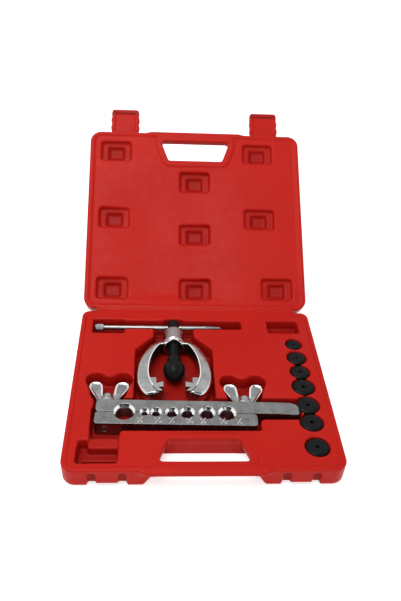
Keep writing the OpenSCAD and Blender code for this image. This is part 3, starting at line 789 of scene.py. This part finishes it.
def yoke_field(x, y, z):
    """The cast yoke: arms that slope away from a thin rib, flat stepped claws and a round collar."""
    u, h, w = np.abs(x - SCREW_X), hinge.y - y, z - SCREW_Z
    outer = yoke_outer(u, h)
    inner = yoke_mouth(u, h)
    ends = meet(h - YOKE_END, (h - YOKE_END) + (19.0 - u) * 0.5, 1.5)
    side = meet(meet(outer, ends, 1.5), 10.8 - u, 0.6)
    arms = cut(join(side, meet(outer, h - 75)), inner, 0.4)
    drop = np.maximum(inner - 2.6, 0)
    face = meet(arms, w - 5.9 + 0.12 * drop + 0.026 * drop ** 2, 2.6)
    solid = meet(face, -w - 7, 1.6)
    rib = meet(meet(arms, np.abs(inner - 0.85) - 0.85, 0.3), np.abs(w) - 6.9, 0.5)
    solid = join(solid, meet(rib, h - 122, 1), 0.4)
    mouth = ellipse(u, h - MOUTH_H, MOUTH_A, MOUTH_FRONT)
    step = np.where(u > 18.2, 108.4, 116.4) - 0.3 * np.clip(18.2 - u, 0, 7)
    claw = meet(meet(mouth - 1, step - h, 0.4), meet(10.8 - u, h - 127, 0.6), 0.5)
    claw = meet(claw, meet(w - 4.2, -w - 6, 0.6), 0.5)
    claw = cut(claw, meet(h - 135, meet(121.6 - h, u - 16 + 0.9 * (h - 122), 0.5)), 0.4)
    solid = join(solid, claw, 0.3)
    r = np.hypot(u, w)
    turns = 0.1 * np.cos((h - 36) * 2.1) ** 2
    collar = meet(r - 11.15 + turns, np.abs(h - 45.4) - 9.3, 1.2)
    collar = join(collar, meet(r - 10.4, meet(h - 57 - 0.35 * u, 50 - h)), 0.6)
    solid = join(solid, collar, 1.6)
    return cut(solid, r - 5.76, 0.5)


def yoke_highlight_and_shade(x, y, z):
    """Above 0 on the rib and outer edge, for a painted highlight; below 0 on the wall of the mouth, for
    painted shade, near black.
    """
    u, h, w = np.abs(x - SCREW_X), hinge.y - y, z - SCREW_Z
    inner = yoke_mouth(u, h)
    wall = np.clip(1.6 - np.abs(inner) * 2.2, 0, 1) * np.clip((6.0 - w) / 0.8, 0, 1)
    rib = np.clip(2.2 - np.abs(inner - 0.85), 0, 1) * (w > 6.2)
    outer = yoke_outer(u, h)
    edge = np.clip((outer + 2.8) / 1.2, 0, 1) * (h > 60) * 0.8
    return np.maximum(rib, edge) - wall * np.clip((98 - h) / 22, 0, 1)


def nut_axes(centre, turn):
    """Across a wing nut from its stud, along the stud from the flange, and up."""
    c, s = math.cos(turn), math.sin(turn)

    def axes(x, y, z):
        dx, dy = x - centre[0], y - centre[1]
        return np.abs(dx * c + dy * s), -dx * s + dy * c, z - centre[2]

    return axes


def wing_petal(u, v):
    return outline(u, v, [
        (3.5, 1.2), (9.2, 1.2), (19.4, 19.0), (19.8, 22.4), (18.8, 26.0), (16.2, 28.0),
        (12.6, 28.5), (9.0, 27.3), (6.7, 24.2), (5.9, 19.5), (5.2, 10),
    ], 1.5)


def wing_nut_field(axes):
    def field(x, y, z):
        u, v, w = axes(x, y, z)
        r = np.hypot(u, w)
        flange = meet(r - 7.8, slab(v, 0, 1.9), 0.5)
        hub = meet(meet(r - 5.7 + 0.1 * np.maximum(v - 3, 0), v - 11.5, 2.4), -v)
        petal = wing_petal(u, v)
        edge = meet(petal, np.abs(w) - 1.9 + 0.9 * np.clip((-petal - 1.0) / 1.6, 0, 1), 0.6)
        solid = join(join(hub, edge, 1.4), flange, 0.8)
        return cut(solid, r - NUT_BORE_R, 0.4)

    return field


def wing_nut_highlight(axes):
    """The rims of the wings, for a painted highlight, and their faces inside, which are darker and duller."""
    def zone(x, y, z):
        u, v, _ = axes(x, y, z)
        petal = wing_petal(u, v)
        inside = np.clip((-petal - 2.2) / 1.0, 0, 1) * (v > 12)
        return np.clip((petal + 2.0) / 0.8, 0, 1) * (v > 10) - 0.45 * inside

    return zone


# ---- Turned pieces ----------------------------------------------------------


def turned(name, profile, start, axis, ripple=None, segments=96):
    """A piece turned about an axis from start: profile holds (distance along, radius) points.

    ripple(along, angle) adds to the radius, for threads and knurls."""
    axis = Vector(axis).normalized()
    side = axis.orthogonal().normalized()
    other = axis.cross(side)
    along = np.array([p[0] for p in profile])
    radius = np.array([p[1] for p in profile])
    angle = np.linspace(0, 2 * math.pi, segments, endpoint=False)
    a, t = np.meshgrid(along, angle, indexing="ij")
    r = np.repeat(radius[:, None], segments, 1)
    if ripple:
        r = r + ripple(a, t)
    s, ax, sd, ot = (np.array(v) for v in (start, axis, side, other))
    p = s + a[..., None] * ax + (r * np.cos(t))[..., None] * sd + (r * np.sin(t))[..., None] * ot
    i, j = np.meshgrid(np.arange(len(profile) - 1), np.arange(segments), indexing="ij")
    k = (j + 1) % segments
    quads = np.stack([i * segments + j, i * segments + k, (i + 1) * segments + k, (i + 1) * segments + j], -1)
    mesh = new_mesh(name, p.reshape(-1, 3) * MM, quads.reshape(-1, 4)[:, ::-1])
    return piece(name, mesh)


def fine(profile, step=0.25):
    """A profile with points added so that no stretch is longer than step."""
    out = [profile[0]]
    for a, b in zip(profile, profile[1:]):
        n = max(1, int(math.dist(a, b) / step))
        out += [(a[0] + (b[0] - a[0]) * i / n, a[1] + (b[1] - a[1]) * i / n) for i in range(1, n + 1)]
    return out


def rounded(profile, r):
    """A profile whose corners are cut by arcs of about radius r."""
    out = [profile[0]]
    for a, b, c in zip(profile, profile[1:], profile[2:]):
        a, b, c = Vector(a), Vector(b), Vector(c)
        cut_a, cut_c = min(r, (a - b).length / 2.1), min(r, (c - b).length / 2.1)
        p, q = b + (a - b).normalized() * cut_a, b + (c - b).normalized() * cut_c
        for i in range(5):
            t = i / 4
            out.append(tuple(p * (1 - t) ** 2 + b * 2 * t * (1 - t) + q * t ** 2))
    return out + [profile[-1]]


def thread(pitch, depth, start, end):
    """A ripple that cuts a screw thread between two places."""
    def ripple(a, t):
        phase = (a / pitch - t / (2 * math.pi)) % 1
        groove = np.abs(phase - 0.5) * 2
        inside = np.clip(np.minimum(a - start, end - a) / pitch, 0, 1)
        return -depth * inside * (1 - groove)
    return ripple


def knurl(count, pitch, depth, start, end):
    def ripple(a, t):
        around, down = count / 2 * t, a * math.pi / pitch
        cross = np.abs(np.sin(around + down)) * np.abs(np.sin(around - down))
        inside = np.clip(np.minimum(a - start, end - a) / 0.5, 0, 1)
        return -depth * inside * (1 - cross)
    return ripple


def make_screw(chrome, black):
    lo, hi = box_mm("feed_screw")
    back = hi[1]
    centre = (SCREW_X, back, SCREW_Z)
    long = back - lo[1]
    profile = rounded([
        (0, 0.01), (0, 5.2), (1.2, 6.7), (13.5, 6.7), (13.6, 5.7),
        (58.2, 5.7), (58.3, 3.7), (long, 3.7), (long, 0.01),
    ], 0.35)
    screw = turned("feed_screw_turned", fine(profile), centre, (0, -1, 0), thread(1.5, 0.75, 14.2, 58))
    stand_in(screw, "screw", ["feed_screw"], black)

    lo, hi = box_mm("flaring_cone")
    long = hi[1] - lo[1]
    nose_at = [0.02, 0.3, 0.8, 1.6, 2.8, 4.5, 6.5, 9, 12, 15]
    nose = [(t, 11.15 * (1 - (1 - t / 15) ** 2.1) ** 0.62) for t in nose_at]
    profile = nose + [
        (17.6, 11.15), (19.2, 10.7), (20.8, 9.4), (22, 8.1), (23.4, 7.2), (26, 7.1), (28, 7.1),
        (long - 0.6, 7.0), (long, 6.4), (long, 4.2),
    ]
    profile = [(0, 0.01)] + fine(rounded(profile, 0.5), 0.5)
    cone = turned("flaring_cone_turned", profile, (SCREW_X, lo[1], SCREW_Z), (0, 1, 0))
    stand_in(cone, "cone", ["flaring_cone"], black)

    lo, hi = box_mm("handle_rod")
    y, z, r = (lo[1] + hi[1]) / 2, (lo[2] + hi[2]) / 2, (hi[2] - lo[2]) / 2
    long = hi[0] - lo[0]
    profile = [(0, 0.01), (0, r), (long - 17, r), (long - 2.6, 2.0), (long - 0.5, 1.3), (long, 0.01)]
    rod = turned("handle_rod_turned", rounded(profile, 0.4), (lo[0], y, z), (1, 0, 0), segments=64)
    stand_in(rod, "handle", ["handle_rod"], chrome)
    lo, hi = box_mm("handle_cap")
    long, r = hi[0] - lo[0], (hi[2] - lo[2]) / 2
    profile = [(0, 0.01), (0, r - 0.7), (0.8, r), (long - 0.8, r), (long, r - 0.7), (long, 2.85)]
    profile = fine(rounded(profile, 0.3), 0.12)
    ripple = knurl(40, 1.1, 0.28, 1.2, long - 1.2)
    cap = turned("handle_cap_knurled", profile, (lo[0], y, z), (1, 0, 0), ripple, 240)
    stand_in(cap, "handle", ["handle_cap"], chrome)


def make_adapters(black):
    for node, centre, r in adapter_wells():
        lo, hi = box_mm(node)
        deep, flange = hi[2] - lo[2], 4.6
        size = [int(k) for k in node.split("_")[1:]]
        stem = size[0] / size[1] * 25.4 * 0.72 / 2
        bore = min(1.7, stem * 0.55)
        profile = rounded([
            (0.5, bore), (0, bore + 0.6), (0, r - 3.0), (0.25, r - 2.2), (0.25, r - 1.6), (1.2, r),
            (flange, r), (flange, stem + 0.6), (flange + 0.6, stem), (deep - 0.8, stem),
            (deep, stem - 0.7), (deep, bore), (0.5, bore),
        ], 0.25)
        x, y = centre[0], hinge.y - centre[1]
        o = turned(node + "_turned", profile, (x, y, hi[2]), (0, 0, -1), segments=80)
        stand_in(o, node, [node], black)


# ---- Die bar ----------------------------------------------------------------

TUBES = {"5/8": 27.4, "3/16": 46.5, "1/4": 57.5, "5/16": 72.3, "3/8": 87.1, "7/16": 105.8, "1/2": 125}
lie_axis = Vector(joints["clamp_open"]["axis"])
BAR_TURN = -math.atan2(lie_axis.x, lie_axis.y)
BAR_EDGE, BAR_T = 15.45, 15.6
# The clear bore of the wing nuts, washers and bars, round the studs
NUT_BORE_R = 3.96
HALF_INCH = 12.7
BAR_TOP = box_mm("front_bar")[1][2]
FRONT_L, REAR_L = 153.5, 195.0
STUD_X = (9.7, 143.5)


# The left end of the split line, counted from the hinge line in y
BAR_LEFT, SPLIT_H = -101.5, 156.6
BAR_AT = Vector((BAR_LEFT, hinge.y - SPLIT_H, 0))


def bar_place(p):
    c, s = math.cos(BAR_TURN), math.sin(BAR_TURN)
    x, y, z = p.T
    return np.stack([BAR_AT.x + x * c - y * s, BAR_AT.y + x * s + y * c, z], 1) * MM


def from_hole(x, y, size, at):
    """The distance outwards from the wall of one tube hole, whose size is in inches."""
    top, bottom = (int(k) for k in size.split("/"))
    return np.hypot(x - at, y) - top / bottom * HALF_INCH


def bar_holes(x, y, z):
    void = 99.0
    for size, at in TUBES.items():
        flare = np.clip(z - BAR_TOP + 2.6, 0, 3) + np.clip(BAR_TOP - BAR_T + 0.5 - z, 0, 1)
        void = join(void, from_hole(x, y, size, at) - flare)
    return void


def hole_highlight_and_bore(x, y, z):
    """Above 0 on the flares of the tube holes, for a painted highlight; below 0 in their ribbed bores."""
    near = 99.0
    for size, at in TUBES.items():
        near = np.minimum(near, from_hole(x, y, size, at))
    flare = np.clip(4 - 1.4 * near, 0, 1) * np.clip((BAR_TOP - 0.1 - z) / 0.2, 0, 1)
    bore = np.clip(1.8 - 4 * np.abs(near), 0, 1)
    return np.where(z > BAR_TOP - 2.5, flare, -bore)


def front_bar_field(x, y, z):
    plan = rect(x, y, (0, -BAR_EDGE), (FRONT_L, -0.25), 3.2)
    solid = meet(plan, slab(z, BAR_TOP - BAR_T, BAR_TOP), 0.45)
    solid = cut(solid, bar_holes(x, y, z), 0.25)
    for at in STUD_X:
        solid = cut(solid, np.hypot(x - at, z - BAR_TOP + BAR_T / 2) - 3.85, 0.3)
        dot = meet(np.hypot(x - at, y + BAR_EDGE - 7.6) - 1.25, BAR_TOP - 0.6 - z)
        solid = cut(solid, dot, 0.15)
    return solid


def rear_bar_field(x, y, z):
    plan = rect(x, y, (0, 0.25), (REAR_L, BAR_EDGE), 3.2)
    corner = ellipse(x - REAR_L + 9, y - BAR_EDGE + 6, 9.0, 6.0)
    corner = np.where((x > REAR_L - 9) & (y > BAR_EDGE - 6), corner, -9)
    solid = meet(np.maximum(plan, corner), slab(z, BAR_TOP - BAR_T, BAR_TOP), 0.45)
    ground = z - BAR_TOP + 0.0525 * (x - REAR_L + 22)
    solid = meet(solid, ground, 0.4)
    solid = cut(solid, bar_holes(x, y, z), 0.25)
    for at in STUD_X:
        solid = cut(solid, np.hypot(x - at, z - BAR_TOP + BAR_T / 2) - NUT_BORE_R, 0.3)
    return solid


def size_marks(ink):
    """A plain fraction beside each tube hole, cut shallow into the front bar."""
    points, faces = [], []

    def add_text(body, size, x, y):
        curve = bpy.data.curves.new("mark", "FONT")
        curve.body, curve.size, curve.extrude = body, size, 0.06
        curve.resolution_u = 2
        o = bpy.data.objects.new("mark", curve)
        bpy.context.scene.collection.objects.link(o)
        bpy.context.view_layer.update()
        mesh = o.evaluated_get(bpy.context.evaluated_depsgraph_get()).to_mesh()
        start = len(points)
        points.extend([(v.co.x + x, v.co.y + y, v.co.z + BAR_TOP) for v in mesh.vertices])
        mesh.calc_loop_triangles()
        faces.extend([[start + i for i in t.vertices] for t in mesh.loop_triangles])
        o.to_mesh_clear()
        bpy.data.objects.remove(o)

    for (size, at), shift in zip(TUBES.items(), (12.8, 10.2, 12.5, 14.1, 12.5, 12.2, 8.4)):
        top, bottom = size.split("/")
        x, start = at + shift, len(points)
        corners = [(x, -14.2), (x + 0.5, -14.2), (x + 4.9, -6.6), (x + 4.4, -6.6)]
        points.extend([(*c, BAR_TOP + up) for up in (0.05, -0.2) for c in corners])
        quads = [(0, 1, 2, 3), (7, 6, 5, 4)] + [(k, 4 + k, 4 + (k + 1) % 4, (k + 1) % 4) for k in range(4)]
        faces.extend([[start + i for i in (q[0], *pair)] for q in quads for pair in (q[1:3], q[2:])])
        add_text(top, 3.3, x + 1.2 - 1.9 * len(top), -9.6)
        add_text(bottom, 3.3, x + 3.2, -13.6)
    mesh = new_mesh("size_marks", bar_place(np.array(points)), faces)
    for p in mesh.polygons:
        p.use_smooth = False
    o = piece("size_marks", mesh)
    o.data.materials.append(ink)
    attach(o, "die_front")


def make_bar(steel, zinc, chrome, brass, ink):
    lo, hi = (-0.8, -BAR_EDGE - 0.8, BAR_TOP - BAR_T - 0.8), (FRONT_L + 0.8, 0.6, BAR_TOP + 0.8)
    front = mesh_of("front_bar_ground", front_bar_field, lo, hi, 0.5, bar_place, keep=0.4, zone=hole_highlight_and_bore)
    stand_in(front, "die_front", ["front_bar"], steel)
    lo, hi = (-0.8, -0.6, BAR_TOP - BAR_T - 0.8), (REAR_L + 0.8, BAR_EDGE + 0.8, BAR_TOP + 0.8)
    rear = mesh_of("rear_bar_ground", rear_bar_field, lo, hi, 0.5, bar_place, keep=0.4, zone=hole_highlight_and_bore)
    stand_in(rear, "die_rear", ["rear_bar"], steel)
    size_marks(ink)
    for node, at in (("wing_nut_left", STUD_X[0]), ("wing_nut_right", STUD_X[1])):
        centre = bar_place(np.array([[at, BAR_EDGE + 1.55, BAR_TOP - BAR_T / 2]]))[0] / MM
        lo, hi = box_mm(node)
        axes = nut_axes(centre, BAR_TURN)
        o = mesh_of(node + "_cast", wing_nut_field(axes), lo - 1, hi + 1, 0.45,
                    keep=0.5, zone=wing_nut_highlight(axes))
        stand_in(o, node.replace("wing_", ""), [node], chrome)
    for side, at in zip(("left", "right"), STUD_X):
        lo, hi = -BAR_EDGE + 0.5, BAR_EDGE + 13.5
        start = bar_place(np.array([[at, lo, BAR_TOP - BAR_T / 2]]))[0] / MM
        far = bar_place(np.array([[at, hi, BAR_TOP - BAR_T / 2]]))[0] / MM
        profile = [(0, 0.01), (0, 3.2), (0.7, 3.9), (28.9, 3.9), (29.45, 3.4), (29.45, 0.01)]
        profile = fine(rounded(profile, 0.2), 0.25)
        o = turned(f"stud_{side}_threaded", profile, start, far - start, thread(1.25, 0.6, 17, 29), 72)
        stand_in(o, "die_front", [f"stud_{side}"], brass)
        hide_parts(f"stud_pin_{side}")
        profile = rounded([
            (0, NUT_BORE_R), (0, 7.3), (0.25, 7.7), (1.3, 7.7),
            (1.5, 7.4), (1.5, NUT_BORE_R), (0, NUT_BORE_R),
        ], 0.15)
        start = bar_place(np.array([[at, BAR_EDGE, BAR_TOP - BAR_T / 2]]))[0] / MM
        o = turned(f"washer_{side}_turned", profile, start, far - start, segments=72)
        stand_in(o, "die_rear", [f"washer_{side}"], zinc)


# ---- Metal finishes ---------------------------------------------------------


def plated(name, color, dark, rough, cast=0.0, streaks=(1, 1, 1), painted_highlight=None, painted_shade_and_raw=None, ribs=False):
    """Bright plate with fine streaks, faint clouding and, on castings, a soft unevenness.

    The first of the two finishes is the color and roughness for a painted highlight where the mesh's zone is
    above 0; the second is the color and roughness where it is below 0: painted shade on the wall of the
    yoke's mouth, darker wing faces and the plain finish of the bar's bores."""
    m = Nodes(name, color, rough, metal=1.0)
    cloud = m.noise(90, 4, 0.6)
    lines = m.noise(1400, 3, 0.6, m.scaled(streaks))
    shade = m.mix(m.ramp(cloud, 0, 1, 0.3, 0.72), color, dark)
    shade = m.mix(m.ramp(lines, 0, 0.55, 0.35, 0.75), shade, dark)
    gloss = m.ramp(lines, rough * 0.75, rough * 1.35, 0.3, 0.7)
    above, under = m.ramp(m.zone(), 0, 1), m.ramp(m.zone(), 1, 0, -1, 0)
    for share, finish in ((above, painted_highlight), (under, painted_shade_and_raw)):
        if finish:
            shade = m.mix(share, shade, finish[0])
            gloss = m.mix(share, gloss, (finish[1],) * 3)
    m.set("Base Color", shade)
    m.set("Roughness", gloss)
    below = m.bump(m.noise(260, 3), cast, 0.0005) if cast else None
    if ribs:
        rings = m.add("ShaderNodeTexWave", Scale=285.0, bands_direction="Z")
        m.link(m.place, rings.inputs["Vector"])
        height = m.add("ShaderNodeMath", operation="MULTIPLY")
        m.link(rings.outputs["Fac"], height.inputs[0])
        m.link(under, height.inputs[1])
        below = m.bump(height.outputs[0], 0.6, 0.0003, below)
    m.set("Normal", m.bump(lines, 0.1, 0.00006, below))
    return m.material


def black_oxide():
    m = Nodes("black_oxide", (0.005, 0.0055, 0.006), 0.36, spec=0.1)
    spots = m.noise(320, 4, 0.6)
    shade = m.mix(m.ramp(spots, 0, 1, 0.45, 0.75), (0.0042, 0.0047, 0.005), (0.008, 0.009, 0.0095))
    m.set("Base Color", shade)
    m.set("Roughness", m.ramp(m.noise(500, 3), 0.28, 0.46, 0.3, 0.7))
    m.set("Normal", m.bump(m.noise(700, 3), 0.2, 0.0001))
    return m.material


def mark_fill():
    m = Nodes("mark_fill", (0.8, 0.8, 0.78), 0.5, metal=0.6)
    m.set("Roughness", m.ramp(m.noise(900, 2), 0.35, 0.6, 0.3, 0.7))
    return m.material


def main():
    scene = bpy.context.scene
    scene.view_settings.view_transform = "Standard"
    camera()
    backdrop()
    lamp("key", (-0.35, -0.25, 1.5), (0, 0.05, 0), (1.3, 1.0), 16.3)
    lamp("fill", (0.3, -1.6, 0.8), (0, 0, 0.05), (1.4, 0.9), 5)
    red, black = red_plastic(), black_oxide()
    # chrome: painted highlight on the yoke's rib and outer edge and on the wing nuts' rims; painted shade,
    # near black, on the wall of the yoke's mouth
    chrome = plated("chrome", (0.47, 0.475, 0.475), (0.28, 0.285, 0.285), 0.18, 0.22,
                    painted_highlight=((0.86, 0.86, 0.86), 0.1), painted_shade_and_raw=((0.03, 0.03, 0.03), 0.5))
    smooth = plated("chrome_turned", (0.37, 0.37, 0.37), (0.24, 0.24, 0.24), 0.2)
    # brushed bar: painted highlight on the flares of the tube holes
    steel = plated("brushed_bar", (0.30, 0.305, 0.30), (0.16, 0.16, 0.16), 0.26, 0.0, (0.3, 0.03, 0.3),
                   painted_highlight=((0.88, 0.88, 0.88), 0.08), painted_shade_and_raw=((0.24, 0.24, 0.24), 0.3), ribs=True)
    zinc = plated("zinc_steel", (0.55, 0.55, 0.54), (0.38, 0.38, 0.37), 0.3)
    brass = plated("zinc_yellow", (0.36, 0.31, 0.2), (0.16, 0.14, 0.1), 0.4)
    make_case(red)
    make_latches(red)
    yoke = mesh_of("yoke_cast", yoke_field, yoke_lo - 1.2, yoke_hi + 1.2, 0.55, keep=0.5, zone=yoke_highlight_and_shade)
    stand_in(yoke, "yoke_body", ["yoke"], chrome)
    make_screw(smooth, black)
    make_adapters(black)
    make_bar(steel, zinc, chrome, brass, mark_fill())


main()
